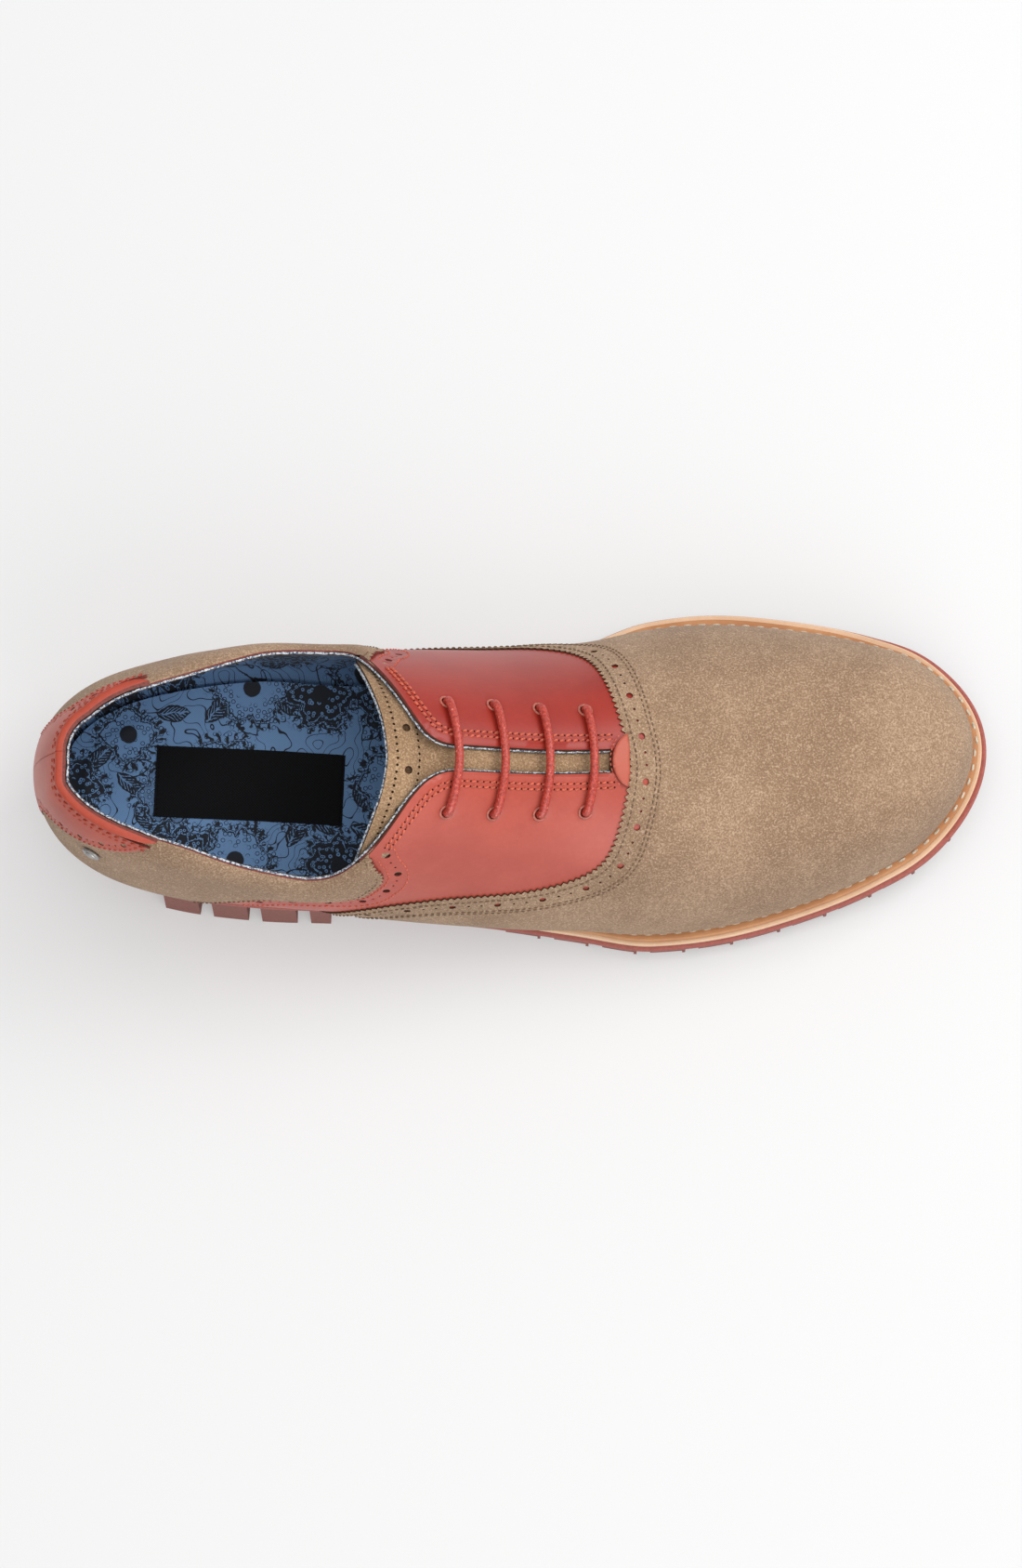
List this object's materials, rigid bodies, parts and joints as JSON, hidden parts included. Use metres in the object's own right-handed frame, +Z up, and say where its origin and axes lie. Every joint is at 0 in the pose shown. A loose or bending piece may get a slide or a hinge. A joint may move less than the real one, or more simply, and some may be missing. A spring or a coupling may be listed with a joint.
{
  "type": "saddle shoe",
  "caption": "Right saddle shoe of taupe suede with red leather saddle and backstay, red round laces, tan welt, pale midsole and brick-red lugged rubber sole",
  "frame": {"origin": "on the floor under the middle of the shoe's bounding box", "axes": "+X from heel to toe, +Y to the medial side of this right shoe, +Z up from the floor"},
  "size_m": [0.3018, 0.1078, 0.0976],
  "materials": {
    "suede": "taupe suede nap with mottled brushing, blue patterned cloth lining inside",
    "saddle_leather": "smooth semi-gloss red leather with stitched and perforated edges",
    "tongue_suede": "taupe suede",
    "lace_cord": "round braided waxed red cord",
    "stud_metal": "plain dark satin metal",
    "insole_cloth": "blue woven cloth with a dark scroll and leaf pattern",
    "welt_leather": "natural tan leather with pale stitching",
    "midsole_leather": "light natural leather edge",
    "outsole_rubber": "matt brick-red moulded rubber"
  },
  "bodies": {
    "root": {"upper": "suede", "saddle_medial": "saddle_leather", "saddle_lateral": "saddle_leather", "backstay": "saddle_leather", "lace_keeper": "saddle_leather", "tongue": "tongue_suede", "lace": "lace_cord", "stud": "stud_metal", "insole": "insole_cloth", "welt": "welt_leather", "midsole": "midsole_leather", "outsole": "outsole_rubber"}
  },
  "joints": []
}
